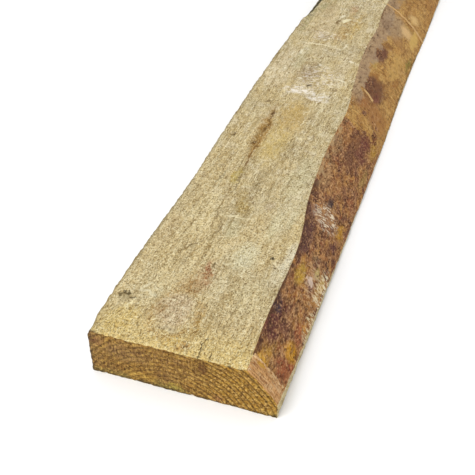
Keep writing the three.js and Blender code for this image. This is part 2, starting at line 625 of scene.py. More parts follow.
# Discoloured patches in the wood, under its fuzz. A row holds what on_top takes, in the same order.
STAINS = tuple(starmap(on_top, (
    # the yellow end, with grey, mauve and ochre patches
    ("#c9a552", 0.5, 12, 78, 12, 16),
    ("#dcc382", 0.7, 14, 122, 20, 30),
    ("#cdb062", 0.6, 24, 22, 28, 20),
    ("#c4ae8c", 0.85, 50, 62, 32, 21, 0, 0.5),
    ("#b5a88c", 0.6, 24, 66, 7, 17),
    ("#a07a30", 0.85, 38, 89, 25, 5, 4),
    ("#9c7640", 0.8, 48, 50, 12, 6),
    ("#b3884c", 0.7, 9, 86, 9, 9),
    ("#a88346", 0.6, 46, 64, 38, 25, 0, 0.3, None, 0.16),
    # the brown halo with its reddish streak
    ("#aa8450", 0.75, 88, 66, 20, 19),
    ("#b39068", 0.6, 104, 72, 30, 14),
    ("#a87448", 0.9, 104, 74, 23, 6.4, 20),
    ("#9a5a3c", 0.8, 112, 71, 12, 4.2, 22, 0.2),
    # pale and mint stretches by the bark, from the treatment salts
    ("#d4c6a2", 0.8, 122, 134, 34, 12),
    ("#d0c196", 0.6, 84, 122, 40, 22),
    ("#d3caa4", 0.85, 141, 98, 30, 19),
    ("#dcd3b8", 0.75, 152, 140, 34, 8),
    ("#bdb48e", 0.7, 180, 72, 26, 11),
    ("#c3be96", 0.65, 196, 112, 34, 9),
    ("#c4be98", 0.65, 214, 126, 26, 7),
    ("#d2c49c", 0.65, 222, 118, 70, 16),
    ("#c2ad8e", 0.7, 228, 95, 12, 7),
    ("#cdc49c", 0.65, 290, 112, 64, 18),
    ("#c0ab82", 0.6, 158, 12, 40, 12),
    ("#dccb9c", 0.6, 84, 34, 46, 20),
    ("#dccb9c", 0.6, 196, 34, 60, 18),
    # ochre past the saw mark, and the gold stretch by the resin streak
    ("#a88a44", 0.85, 216, 71, 18, 14),
    ("#a88a44", 0.7, 236, 62, 30, 8, 8),
    ("#b3983a", 0.8, 270, 45.5, 24, 7, 0, 0.2),
    ("#cbb06c", 0.8, 350, 66, 56, 20, 0, 0.4),
    ("#c8a762", 0.8, 415, 67, 60, 25),
    ("#a68148", 0.8, 372, 44, 84, 10.5, 2.4, 0.35),
    # the dull, pinkish stretch further along
    ("#e0cfaa", 0.8, 535, 20, 76, 24, 0, 0.6),
    ("#9a805c", 0.85, 530, 56, 46, 21),
    ("#c6b58e", 0.8, 598, 60, 24, 46),
    ("#93795a", 0.8, 640, 48, 16, 14),
    ("#bb9660", 0.8, 652, 70, 22, 13),
    ("#c6a45a", 0.85, 694, 86, 72, 9),
    ("#bf9c5e", 0.8, 690, 72, 74, 12, 0, 0.4),
    ("#b39a74", 0.6, 660, 40, 22, 16, 0, 0.4),
    ("#b98a5c", 0.8, 748, 68, 22, 9),
    ("#d6c29a", 0.7, 690, 42, 64, 26),
    ("#8f8a5c", 0.7, 748, 24, 18, 8),
    ("#c6ba92", 0.85, 571, 37, 44, 10, 0, 0.6),
    ("#c9b48c", 0.8, 728, 36, 44, 14, 0, 0.5),
    ("#c9b894", 0.7, 575, 98, 110, 10, 0, 0.4),
    ("#a59c6c", 0.7, 700, 12, 70, 7, 0, 0.4),
)))

# What lies over everything else: dried salts and bare splinters, dark knots, resin and cracks.
MARKS = tuple(starmap(on_top, (
    # whitish fuzz on the mauve patch by the end
    ("#ddd0b8", 0.6, 46, 70, 24, 11, 0, 0.2, TUFTS),
    # the darker curls of the halo
    ("#86612e", 0.6, 79, 71, 3.4, 9, 12),
    ("#86612e", 0.6, 90, 63.5, 10, 2.6, 8),
    ("#8a5a38", 0.55, 112, 71, 11, 2.2, 22),
    # thin brown lines where rings are worn through
    ("#6d5528", 0.75, 140, 42, 22, 1.9, -38),
    ("#6d5528", 0.65, 170, 57, 23, 2.2, -6, 0.4),
    ("#6d5528", 0.5, 126, 46.5, 28, 1.3),
    ("#6d5528", 0.5, 196, 51, 28, 1.3, 2),
    ("#7a6132", 0.6, 100, 27, 52, 1.4, 1.5),
    ("#7a6132", 0.55, 180, 31, 60, 1.4, -1),
    ("#7a6132", 0.5, 120, 37, 40, 1.2, 2),
    ("#7a6132", 0.55, 52, 112, 42, 1.3, 1),
    ("#7a6132", 0.5, 262, 103, 48, 1.3, -3),
    ("#7a6132", 0.5, 302, 92, 46, 1.2, -2),
    # pale fuzz by the bark, and the pale line across at 198
    ("#e9e0be", 0.75, 124, 134, 34, 13, 0, 0.3, TUFTS),
    ("#ece6c6", 0.75, 141, 99, 30, 19, 0, 0.3, FLECKS),
    ("#ece6cc", 0.7, 154, 139, 32, 8, 0, 0.3, TUFTS),
    ("#e6dfbc", 0.7, 222, 112, 60, 20, 0, 0.2, FLECKS),
    ("#e6dab4", 0.75, 186, 99, 8, 16, 0, 0.3, TUFTS),
    ("#e9ddb4", 0.8, 198.5, 69, 1.8, 19, 0, 0.5),
    # the bruise by the square edge, with a pale splinter and curls beside it
    ("#7c6a3e", 0.45, 55, 13, 6, 7),
    ("#4f4020", 0.8, 53, 20, 1.8, 5.4, 8, 0.5),
    ("#4f4020", 0.85, 57.5, 12, 1.8, 6, -8, 0.5),
    ("#5a4a28", 0.8, 54, 8, 4.6, 1.9, 0, 0.5),
    ("#efe4b6", 0.85, 45, 19, 8.5, 1.5, -24, 0.5),
    ("#e9dfba", 0.75, 62, 35, 8, 2.2, 34, 0.4),
    ("#e9dfba", 0.7, 72, 26, 7, 2.2, -30, 0.4),
    ("#e3d8b4", 0.7, 66, 28, 2, 7, 0, 0.4),
    # the bruised corner
    ("#5e4526", 0.85, 0, 2, 4, 8, 0, 0.2),
    # small dark knots and two brown dashes
    ("#33260f", 0.95, 147, 124.4, 4.6, 2.3, 14, 0.5),
    ("#5f4a2a", 0.85, 134, 131, 3.2, 2.6),
    ("#6a5a34", 0.85, 121, 73.6, 6, 2.6),
    ("#5f4a26", 0.85, 352, 15, 4.6, 3, 10, 0.4),
    ("#53401f", 0.95, 494, 67.2, 6, 3.2, 0, 0.4),
    ("#75602f", 0.6, 262, 71, 12, 2, -25),
    ("#75602f", 0.5, 247, 77, 9, 1.6, -20),
    # smoother, golden wood by the resin, and the yellow sapwood before it
    ("#ccb26e", 0.42, 342, 66, 62, 22, 0, 0.1),
    ("#c3a462", 0.42, 418, 68, 60, 26, 0, 0.1),
    ("#b49e48", 0.25, 268, 45.5, 24, 7, 0, 0.1),
    # the dark lines of resin
    ("#634c24", 0.6, 252, 50.4, 36, 1.5, 0, 0.4),
    ("#54411f", 0.6, 256, 34, 22, 1.9, 0, 0.4, HOLLOWS),
    ("#54411f", 0.45, 262, 30, 30, 1.4, -3),
    ("#7a6132", 0.4, 300, 24, 44, 1.4, 1),
    ("#a57d38", 0.5, 370, 44.5, 82, 8, 2.4, 0.35),
    ("#73501c", 0.8, 318, 47.4, 42, 1.8, 1, 0.5),
    ("#73501c", 0.5, 350, 42.6, 46, 1.4, 1.5, 0.4),
    ("#6b4c1e", 0.75, 388, 45.2, 52, 2.2, 2.4, 0.4),
    ("#5a3c12", 0.85, 341, 41, 5, 3.4),
    ("#5f4116", 0.7, 371, 45, 6, 3.2),
    ("#5a3c12", 0.85, 411, 43.5, 7.5, 3.8, 20),
    ("#6b5430", 0.75, 441, 32, 2.4, 6.4),
    # dried salts, in short white curls by the bark and in crusts and specks around 500
    ("#f6f0dc", 0.9, 411, 83.5, 24, 2.6, -6, 0.5, TUFTS),
    ("#ecdfb6", 0.75, 430, 81, 9, 1.6, -12, 0.4),
    ("#ecdfb6", 0.75, 401, 83, 8, 1.6, 10, 0.4),
    ("#8f7650", 0.32, 524, 62, 40, 13),
    ("#dccfb8", 0.4, 481, 58, 11, 22),
    ("#dccfb8", 0.35, 466, 82, 12, 14),
    ("#f4ecde", 0.88, 480, 60, 15, 28, 0, 0.4, CURDS),
    ("#f4ecde", 0.8, 467, 86, 17, 20, 0, 0.4, CURDS),
    ("#f0e6c8", 0.8, 476, 98, 22, 14, 0, 0.4, SMALL_CURDS),
    ("#f0e6c8", 0.7, 512, 92, 20, 22, 0, 0.4, SMALL_CURDS),
    ("#f2e9da", 0.65, 520, 72, 44, 40, 0, 0.4, CHALK),
    # splinters and salts further along, and the saw mark across at 620 with its shaded side
    ("#f3ead0", 0.9, 576, 102, 4.6, 5.6, 0, 0.4),
    ("#efe6c8", 0.85, 608, 82, 24, 3, 0, 0.4, TUFTS),
    ("#efe6c8", 0.85, 598, 32, 20, 9, 20, 0.4, CHALK),
    ("#ebe0bc", 0.7, 617, 44, 2.4, 38, 0, 0.5),
    ("#7c6542", 0.6, 621.5, 44, 2.2, 36, 0, 0.4, HOLLOWS),
    ("#f2e8d6", 0.85, 646, 50, 20, 26, 0, 0.4, CHALK),
    # a brown painted shadow and the pale splinter over it
    ("#7a6034", 0.8, 697, 56, 14, 3.6, -16),
    ("#f0e6be", 0.95, 706, 66, 8.5, 5.5, -16, 0.4),
    # salts on the far part, then single pale splinters
    ("#efe6cc", 0.7, 800, 80, 90, 60, 0, 0.2, CHALK),
    ("#efe6c8", 0.85, 468, 101, 6, 3, 0, 0.4, FLECKS),
    ("#efe6c8", 0.8, 521, 101, 2.8, 9, 0, 0.4),
    ("#efe6c8", 0.8, 511, 49, 4, 3.2),
    ("#efe6c8", 0.8, 534, 23, 5, 4),
    ("#efe6c8", 0.85, 587, 32, 11, 3, 22, 0.4),
    ("#efe6c8", 0.8, 577, 21, 6, 2.6),
    ("#efe6c8", 0.75, 621, 87, 11, 2.2, 0, 0.4),
    ("#efe6c8", 0.75, 634, 53, 5, 3),
    ("#e6dab8", 0.6, 684, 105, 16, 4.5, 0, 0.4),
    ("#efe6c8", 0.75, 721, 57, 11, 3, -8, 0.4),
    ("#e6dab8", 0.7, 745, 51, 11, 2.6, 8, 0.4),
    # dark dashes, with two pale chips between them
    ("#6e5a38", 0.6, 536, 47, 10, 2.4),
    ("#5f5034", 0.8, 556, 62, 17, 9, 0, 0.3, HOLLOWS),
    ("#f0e6cc", 0.85, 549, 62, 3.2, 2.2),
    ("#f0e6cc", 0.85, 557, 65, 3.6, 2.2),
    ("#6d6a48", 0.5, 776, 12, 100, 6, -3, 0.3, HOLLOWS),
    # the drying cracks
    ("#54401e", 0.95, 15, 102.5, 23, 0.9, 0, 0.5),
    ("#6a5530", 0.7, 8, 86.7, 13, 0.8, 0, 0.5),
    ("#6e5831", 0.8, 9, 112.5, 13, 0.7, 0, 0.5),
)))


@dataclass(frozen=True)
class SawnTimber:
    """Pressure-treated, rough-sawn pine or spruce: dull, fuzzy, olive cream, with faint rings.

    The top face wears one finish for each stretch of its length, which differ only in the patches
    that they hold, because a single one with all of them is more than the renderer takes.

    Args:
        name: Name of the finish.
        cuts: Where the stretches start and end, from the near end.
        reach: How far past its own size a ragged patch may show.
        torn: What lies in the torn stretch of the square arris: a nearly black coat, strongest where the
            hollow lies lowest.
        far_off: Where the rougher fuzz of the further part comes in.
        close_by: Where the fuzz that lies across the grain goes out.
    """

    name: str = "rough_sawn_softwood"
    cuts: tuple[float, ...] = (0, 70, 135, 220, 380, 560, NEAR_PART)
    reach: float = 8.0
    torn: Coat = Coat("#403e2b", 0.88, (
        Fade(Axis.UP, 48.9, 46.9), Fade(Axis.ACROSS, 25.0, 18.0),
        Fade(Axis.ALONG, 685.0, 715.0), Fade(Axis.ALONG, 890.0, 850.0)))
    far_off: Fade = Fade(Axis.ALONG, 120.0, 360.0)
    close_by: Fade = Fade(Axis.ALONG, 460.0, 240.0)

    def inside(self, patches: tuple[Coat, ...], starts: float, ends: float) -> list[Coat]:
        """Picks the patches that reach into a stretch.

        Args:
            patches: Patches of the top face.
            starts: Where the stretch starts.
            ends: Where it ends.

        Returns:
            Those that reach into it.
        """
        found = []
        for patch in patches:
            (along, *_), (half_along, half_across, _) = patch.masks[0].place, patch.masks[0].size
            lean = abs(math.sin(math.radians(patch.masks[0].turn)))
            half = max(half_along, half_across * lean) + self.reach
            if along + half > starts and along - half < ends:
                found.append(patch)
        return found

    def finish(self, starts: float, ends: float, *first: Coat) -> Finish:
        """The finish of one stretch.

        Args:
            starts: Where the stretch starts.
            ends: Where it ends.
            first: Coats that lie under the others.

        Returns:
            The finish.
        """
        return Finish(
            f"{self.name}_{starts:.0f}",
            "#d0bb8a",
            (
                Coat("#dacaa0", 0.7, (CLOUDS,)),
                Coat("#b9a06a", 0.5, (BLOTCHES,)),
                Coat("#9a7f48", 0.4, (Rings(), BROAD_GRAIN)),
                Coat("#a0875a", 0.3, (BROAD_GRAIN,)),
                Coat("#dccfa8", 0.5, (PALE_GRAIN,)),
                Coat("#86693a", 0.5, (GRAIN_LINES,)),
                Coat("#d6ba70", 0.65, (Fade(Axis.ALONG, 50, 0),)),
                *first,
                *self.inside(STAINS, starts, ends),
                Coat("#ddd0b0", 0.5, (PALE_SCUFFS, self.far_off)),
                Coat("#ab9468", 0.5, (DULL_SCUFFS, self.far_off)),
                Coat("#7a735a", 0.6, (BIG_FLECKS,), Blend.LIGHTEN),
                Coat("#cdbf9a", 0.6, (HOLLOWS,), Blend.DARKEN),
                Coat("#d4c394", 1.0, (FLECKS,), Blend.LIGHTEN),
                Coat("#b5aa84", 0.85, (TUFTS,), Blend.LIGHTEN),
                Coat("#a08c5e", 0.75, (TUFT_GAPS, self.close_by), Blend.DARKEN),
                Coat("#beb28a", 0.75, (LONG_TUFTS, self.close_by), Blend.LIGHTEN),
                Coat("#978050", 0.85, (PITS,), Blend.DARKEN),
                Coat("#b5a680", 0.95, (FAR_CURLS, self.far_off, ROUGH_STRETCHES), Blend.LIGHTEN),
                Coat("#927848", 0.9, (FAR_GAPS, self.far_off, ROUGH_STRETCHES), Blend.DARKEN),
                Coat("#86703f", 0.55, (
                    WORN_LINES, BROAD_GRAIN, Fade(Axis.ACROSS, 115, 65), Fade(Axis.ALONG, 50, 150))),
                Coat("#6d5d38", 0.7, (Rim(),)),
                *self.inside(MARKS, starts, ends),
                *((self.torn,) if starts < LENGTH else ()),
            ),
            (
                Relief(0.45, (FLECKS,)),
                Relief(0.3, (TUFTS,)),
                Relief(-0.5, (PITS,)),
                Relief(-0.35, (HOLLOWS,)),
                Relief(-0.2, (GRAIN_LINES,)),
                Relief(0.14, (SawLines(), CLOUDS)),
            ),
            tear=6.0,
        )

    def stretch(self, along: float) -> int | None:
        """Which stretch a place of the top face lies in, or none past the last cut."""
        return next((i for i, cut in enumerate(self.cuts[1:]) if along < cut), None)

    def finishes(self) -> list[Finish]:
        """The finish of each stretch."""
        return [self.finish(a, b) for a, b in zip(self.cuts, self.cuts[1:])]

    def plain(self) -> Finish:
        """The finish of the faces that have no patches; the narrow strip under the wane gets a painted
        highlight, pale as if it caught the light.
        """
        # painted highlight on the strip under the wane, which faces away from the lamp
        strip = Coat("#e6d5a8", 0.6, (Fade(Axis.ACROSS, 168, 173),))
        return self.finish(LENGTH + 100, LENGTH + 200, strip)


# Cross-cut end: the fibres are cut through, so it drinks light and the rings stand out dark.
GRANULES = Mottle((2.5, 3.0, 2.5), 0.47, 0.66, 3, 4.4)
PORES = Mottle((2.3, 3.0, 2.3), 0.47, 0.68, 3, 8.8)
END_BLOTCHES = Mottle((10.0, 10.0, 5.0), 0.45, 0.62, 3, 3.9)
GOLD_SPECKS = Mottle((3.0, 3.0, 2.0), 0.55, 0.65, 3, 55.5)
DARK_GAPS = Mottle((3.6, 3.0, 2.4), 0.54, 0.64, 3, 58.8)
SAW_HAIRS = Mottle((1.3, 9.0, 12.0), 0.52, 0.66, 2, 9.9)
PALE_GRANULES = Mottle((2.3, 3.0, 2.6), 0.53, 0.63, 3, 71.3, (0, 38, 0))
LONG_HAIRS = Mottle((1.5, 9.0, 6.0), 0.5, 0.62, 2, 74.9)
CLEAR_RINGS = Rings(late=0.42, fray=0.16, wander=7.0)
END_FACE = Finish(
    "cross_cut_end_grain",
    "#7f5c27",
    (
        Coat("#775933", 0.8, (Fade(Axis.ACROSS, 110, 60), CLOUDS)),
        Coat("#a2792c", 0.75, (Fade(Axis.ACROSS, 85, 145),)),
        Coat("#87743a", 0.6, (Fade(Axis.UP, 42, 49), CLOUDS)),
        Coat("#765327", 0.6, (END_BLOTCHES,)),
        Coat("#5f4218", 0.6, (Rings(spacing=2.6, late=0.3, fray=0.15, wander=5.0), END_BLOTCHES)),
        on_end("#7b5f42", 0.6, 34, 33, 30, 13, 0.4),
        # one broad, darker year
        Coat("#644521", 0.55, (
            Stain((0, 75, -112), (60, 151, 151), 0, 0, 0.022), Fade(Axis.ACROSS, 112, 98))),
        on_end("#9c7434", 0.6, 97, 17, 14, 7),
        on_end("#5a3018", 0.85, 106, 38, 5, 10),
        on_end("#6d4c25", 0.6, 60, 37, 50, 8, 0.2),
        on_end("#7c5438", 0.6, 5, 42, 11, 10),
        on_end("#b08a3e", 0.75, 50, 8, 22, 8),
        on_end("#a8923c", 0.7, 81, 6, 12, 6),
        Coat("#7f7a3c", 0.5, (Fade(Axis.UP, 9, 3), CLOUDS)),
        on_end("#8f5f40", 0.6, 120, 5, 9, 6),
        Coat("#9b7c3c", 0.8, (GRANULES,), Blend.LIGHTEN),
        Coat("#7c5826", 0.8, (PORES,), Blend.DARKEN),
        Coat("#c29a48", 0.45, (GOLD_SPECKS,)),
        Coat("#b7925a", 0.4, (LONG_HAIRS, Fade(Axis.ACROSS, 108, 96), Fade(Axis.UP, 12, 26))),
        Coat("#d0a860", 0.62, (PALE_GRANULES, Fade(Axis.ACROSS, 105, 114))),
        Coat("#c9a35c", 0.4, (PALE_GRANULES, Fade(Axis.ACROSS, 60, 78), Fade(Axis.UP, 34, 26))),
        on_end("#56341a", 0.6, 106, 38, 4, 9),
        Coat("#5d4119", 0.5, (DARK_GAPS,)),
        Coat("#c09a54", 0.3, (SAW_HAIRS,)),
        Coat("#462f0d", 0.5, (CLEAR_RINGS, Mottle((16, 20, 9), 0.25, 0.5, 3, 1.9))),
        Coat("#3d2a0c", 0.45, (
            CLEAR_RINGS, Fade(Axis.ACROSS, 85, 125), Mottle((14, 20, 7), 0.3, 0.52, 3, 5.9))),
        Coat("#4d4022", 0.7, (Fade(Axis.UP, 3.4, 0),)),
        Coat("#463828", 0.75, (Fade(Axis.ACROSS, 4, 0),)),
    ),
    (Relief(-0.3, (Rings(),)), Relief(0.5, (GRANULES,)), Relief(-0.6, (PORES,))),
    tear=5.0,
)

# Slivers of lifted fibre: clean wood that the treatment has hardly reached, so they are pale.
RAISED_FIBRE = Finish(
    "lifted_pine_fibre",
    "#d8c79c",
    (
        Coat("#efe5c4", 0.8, (Mottle((3.0, 6.0, 3.0), 0.45, 0.6, 2, 2.9),)),
        Coat("#a98f59", 0.7, (Mottle((5.0, 9.0, 5.0), 0.5, 0.65, 2, 6.1),)),
        Coat("#c9b894", 0.5, (Fade(Axis.ALONG, 300, NEAR_PART),)),
    ),
)

# Bast strips and splinters that have weathered to tan.
BAST_STRIP = Finish(
    "weathered_bast",
    "#d2ab7a",
    (
        Coat("#e8cfa4", 0.8, (Mottle((2.5, 3.0, 2.5), 0.5, 0.62, 2, 2.2),)),
        Coat("#a87a4c", 0.8, (Mottle((3.5, 3.0, 3.5), 0.48, 0.6, 2, 8.1),)),
        Coat("#c6a26a", 0.75, (Fade(Axis.ALONG, 100, 300),)),
    ),
    (Relief(0.2, (FLECKS,)),),
)

# Sapwood that bark has come away from: golden and smoother, with brown films of bast. Curls and gaps
# run across it; crumbs and scales are specks of bast on its far part.
ACROSS_SCORES = Mottle((14.0, 1.5, 14.0), 0.46, 0.62, 2, 2.6)
WANE_CURLS = Mottle((15.0, 3.6, 15.0), 0.5, 0.66, 3, 11.6, (0, 0, 12))
WANE_GAPS = Mottle((13.0, 3.4, 13.0), 0.5, 0.68, 3, 14.2, (0, 0, 12))
FAR_CRUMBS = Mottle((3.6, 8.0, 3.6), 0.5, 0.64, 3, 28.4)
FAR_SCALES = Mottle((3.4, 7.5, 3.4), 0.52, 0.66, 3, 33.8)
UPWARD_STREAKS = Mottle((26.0, 3.6, 26.0), 0.48, 0.66, 2, 17.5, (0, 0, 12))
BY_THE_END = Fade(Axis.ALONG, 30, 18)
PAST_THE_BARK = Fade(Axis.ALONG, 400, 440)
# Brown and purple films of bast, soft at their outlines.
BAST_FILMS = tuple(starmap(on_wane, (
    ("#9c683a", 0.8, 495, 53, 24, 14),
    ("#a5713f", 0.8, 492, 34, 36, 22),
    ("#70452f", 0.9, 541, 43, 44, 23, 0.45),
    ("#623c2e", 0.7, 547, 54, 26, 8),
    ("#85503c", 0.8, 525, 36, 18, 8),
    ("#b1924a", 0.6, 600, 58, 16, 8),
    ("#6c4232", 0.92, 636, 55, 34, 15, 0.45),
    ("#955c26", 0.65, 606, 17, 24, 7),
    ("#8a5f32", 0.85, 672, 50, 10, 12, 0.5),
    ("#a98d6a", 0.85, 735, 56, 52, 26, 0.45),
    ("#c9a05a", 0.7, 640, 26, 60, 14, 0.4),
    ("#a8743c", 0.7, 492, 18, 34, 16),
    ("#8e7c34", 0.8, 682, 8, 36, 7),
)))
# Worn, golden patches and brown dashes over all of that, and a painted shadow beside the long pale splinter.
WORN_PATCHES_AND_SPLINTER_SHADOW = tuple(starmap(on_wane, (
    ("#a87d4c", 0.45, 702, 38, 24, 18),
    ("#a27c4c", 0.6, 836, 66, 50, 17),
    ("#7c5c30", 0.6, 830, 44, 26, 3.5),
    # painted shadow beside the long pale splinter
    ("#97783a", 0.5, 765, 30, 5, 20),
    ("#e2bd7e", 0.8, 800, 30, 18, 15),
    ("#e2bc84", 0.8, 748, 34, 22, 17),
    ("#d9b364", 0.8, 746, 17, 38, 10, 0.4),
    ("#976430", 0.7, 576, 49, 13, 9),
    ("#8a6428", 0.6, 596, 11, 16, 4),
)))
BARE_WANE = Finish(
    "debarked_sapwood",
    "#c0914c",
    (
        Coat("#94683a", 0.7, (Mottle((14, 24, 14), 0.48, 0.6, 3, 1.3),)),
        Coat("#dab268", 0.85, (Mottle((12, 22, 12), 0.46, 0.6, 3, 5.3),)),
        Coat("#b98a4c", 0.5, (PAST_THE_BARK,)),
        Coat("#85592a", 0.3, (UPWARD_STREAKS, PAST_THE_BARK)),
        Coat("#cf9c66", 0.9, (BY_THE_END,)),
        Coat("#9c6a40", 0.7, (BY_THE_END, ACROSS_SCORES)),
        Coat("#e2bf90", 0.6, (BY_THE_END, Mottle((9.0, 1.9, 9.0), 0.5, 0.6, 2, 61.3))),
        on_wane("#c8973c", 0.9, 19, 33, 6, 8),
        on_wane("#e3c79c", 0.8, 18, 43, 5, 4),
        Coat("#b07a3c", 0.6, (Fade(Axis.ALONG, 830, 900),)),
        Coat("#a17a4a", 0.85, (PITS,), Blend.DARKEN),
        Coat("#8f743e", 0.6, (FLECKS,), Blend.LIGHTEN),
        Coat("#a58252", 0.4, (WANE_GAPS, PAST_THE_BARK), Blend.DARKEN),
        Coat("#8c7040", 0.45, (WANE_CURLS, PAST_THE_BARK), Blend.LIGHTEN),
        *BAST_FILMS,
        # the greyish band under the top arris
        Coat("#a78f74", 0.72, (
            Fade(Axis.UP, 38.5, 42), Fade(Axis.ALONG, 470, 510), Fade(Axis.ALONG, 1020, 860))),
        Coat("#8d6c49", 0.7, (
            Fade(Axis.UP, 22, 46), Fade(Axis.ALONG, 840, 1000), Mottle((34, 90, 34), 0.42, 0.6, 3, 4.6))),
        Coat("#75493a", 0.6, (Fade(Axis.ALONG, 840, 960), Mottle((22, 60, 22), 0.55, 0.66, 3, 8.6))),
        on_wane("#77532f", 0.4, 722, 66, 30, 12),
        on_wane("#694724", 0.8, 748, 82, 55, 8),
        # worn specks over the bast, and the dark, broken line along the top arris
        Coat("#8a6a48", 0.45, (FAR_CRUMBS, PAST_THE_BARK), Blend.DARKEN),
        Coat("#7d664a", 0.5, (FAR_SCALES, PAST_THE_BARK), Blend.LIGHTEN),
        Coat("#5a4129", 0.85, (Fade(Axis.UP, 44.5, 48), PAST_THE_BARK, HOLLOWS)),
        *WORN_PATCHES_AND_SPLINTER_SHADOW,
    ),
    (
        Relief(0.35, (FLECKS,)),
        Relief(-0.4, (PITS,)),
        Relief(0.5, (WANE_CURLS, PAST_THE_BARK)),
        Relief(-0.5, (WANE_GAPS, PAST_THE_BARK)),
        Relief(-0.4, (ACROSS_SCORES, BY_THE_END)),
    ),
    roughness=0.8,
    tear=7.0,
)

# Weathered inner bark of pine: crumbly, from ochre to purple brown, with whitish scrapes.
CRUMBS = Mottle((1.7, 3.0, 1.7), 0.47, 0.68, 3, 4.1)
CREVICES = Mottle((2.2, 4.2, 2.2), 0.46, 0.72, 3, 8.2)
LUMPS = Mottle((5.0, 9.0, 5.0), 0.44, 0.64, 3, 13.1)
BRIGHT_SPECKS = Mottle((5.0, 1.9, 5.0), 0.5, 0.57, 3, 16.4, (0, 0, 30))
SCRAPES = Mottle((3.2, 4.0, 3.2), 0.52, 0.6, 3, 88.1)
# Gold, brick red and purple patches, where the bark's layers have flaked off to different depths.
FLAKED_PATCHES = tuple(starmap(on_wane, (
    ("#b88a3a", 0.9, 40, 35, 19, 11),
    ("#cc9a3c", 0.95, 23, 33, 10, 11, 0.4),
    ("#9e5a36", 0.9, 36, 11, 18, 14, 0.4),
    ("#a04424", 0.8, 48, 5, 9, 7),
    ("#cc9120", 0.97, 61, 13, 14, 11, 0.4),
    ("#653a34", 0.92, 72, 42, 40, 13, 0.5),
    ("#6e4638", 0.85, 76, 28, 17, 11),
    ("#5c362e", 0.8, 84, 36, 16, 8),
    ("#a87438", 0.7, 122, 15, 18, 8),
    ("#44363c", 0.92, 90, 48, 16, 9, 0.45),
    ("#a55c36", 0.85, 85, 11, 17, 8),
    ("#c4822a", 0.85, 98, 8, 9, 5),
    ("#5e3e26", 0.85, 107, 26, 14, 5),
    ("#b89136", 0.95, 146, 39, 21, 10, 0.4),
    ("#927060", 0.85, 146, 24, 9, 8),
    ("#e0c4ae", 0.95, 150, 26, 6.5, 5, 0.4),
    ("#bba964", 0.9, 167, 20, 9, 7),
    ("#b59c4a", 0.85, 163, 10, 16, 6),
    ("#5c3a1c", 0.85, 182, 30, 8, 5),
    ("#b67e4a", 0.85, 195, 20, 13, 8),
    ("#5e3c38", 0.9, 198, 50, 50, 12, 0.5),
    ("#54301c", 0.9, 222, 35, 6, 6),
    ("#562c30", 0.95, 222, 13, 14, 8, 0.4),
    ("#644340", 0.85, 240, 56, 18, 10),
    ("#bb8a2c", 0.92, 252, 12, 19, 9, 0.4),
    ("#3f2c2e", 0.92, 274, 36, 9, 6, 0.4),
    ("#a8845a", 0.75, 308, 56, 40, 10),
    ("#8a5e40", 0.8, 313, 29, 20, 8),
    ("#98603c", 0.8, 306, 15, 20, 9),
    ("#5c3818", 0.85, 297, 30, 7, 4),
    ("#5a300f", 0.9, 353, 30, 7, 5),
    ("#b27e56", 0.85, 365, 30, 11, 7),
    ("#6f4836", 0.9, 376, 40, 36, 14),
    ("#94793e", 0.8, 366, 9, 34, 6),
    ("#7a473d", 0.9, 405, 28, 36, 13, 0.4),
    ("#6a4a2a", 0.85, 343, 61, 12, 7),
    ("#8a6a48", 0.8, 372, 60, 30, 8),
    ("#7a482e", 0.9, 444, 25, 18, 14, 0.5),
    ("#6a3818", 0.9, 450, 17, 13, 7, 0.4),
    ("#743c34", 0.9, 420, 25, 15, 8),
    ("#b68c38", 0.9, 425, 11, 24, 10),
    ("#5c3414", 0.95, 437, 35, 8, 3.6, 0.4),
    ("#54300f", 0.9, 450, 23, 9, 3, 0.4),
    ("#54300f", 0.85, 458, 27, 5, 3, 0.4),
    ("#66491f", 0.8, 438, 62, 8, 9),
)))
